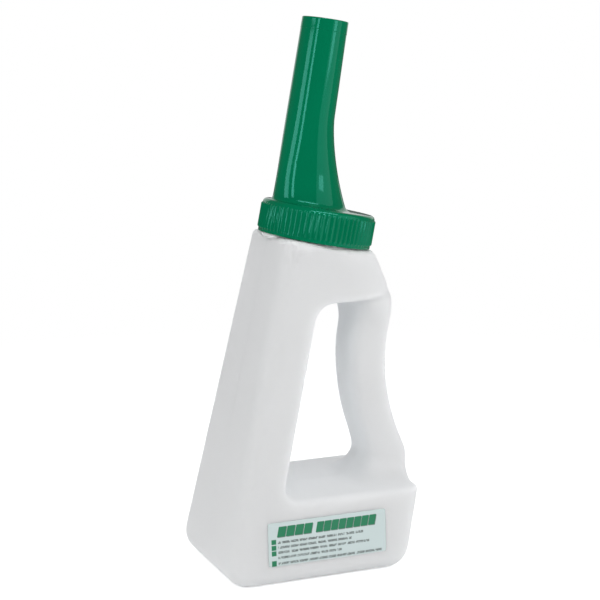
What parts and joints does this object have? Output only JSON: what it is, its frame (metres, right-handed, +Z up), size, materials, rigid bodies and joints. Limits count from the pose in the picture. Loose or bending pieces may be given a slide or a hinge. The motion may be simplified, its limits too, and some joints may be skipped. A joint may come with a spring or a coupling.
{
  "type": "drenching bottle",
  "caption": "Blow-moulded livestock drenching bottle with a hollow handle, a leaning neck, and a ribbed screw cap that carries a long off-centre nozzle.",
  "frame": {"origin": "on the ground, under the middle of the whole object's length and width", "axes": "+Z up, +X from the column in front to the handle behind, the object is the same on both sides of Y = 0"},
  "size_m": [0.1786, 0.1272, 0.4577],
  "materials": {
    "milky_polyethylene": "milky, see-through when held to light, fine satin skin",
    "green_moulded_plastic": "glossy injection moulding",
    "pale_seal_foam": "dull"
  },
  "bodies": {
    "bottle": {"bottle": "milky_polyethylene"},
    "seal": {"sealing_ring": "pale_seal_foam"},
    "cap": {"nozzle_cap": "green_moulded_plastic"}
  },
  "joints": [
    {"name": "cap_rise", "type": "slide", "parent": "bottle", "child": "seal", "axis": [0.1891, 0, 0.982], "range_m": [0, 0.009]},
    {"name": "cap_turn", "type": "hinge", "parent": "seal", "child": "cap", "pos_m": [0.00851, 0, 0.2736], "axis": [0.1891, 0, 0.982], "range_deg": [0, 540]}
  ],
  "couplings": [
    {"joint": "cap_rise", "follows": "cap_turn", "m_per_rad": 0.00095493}
  ]
}
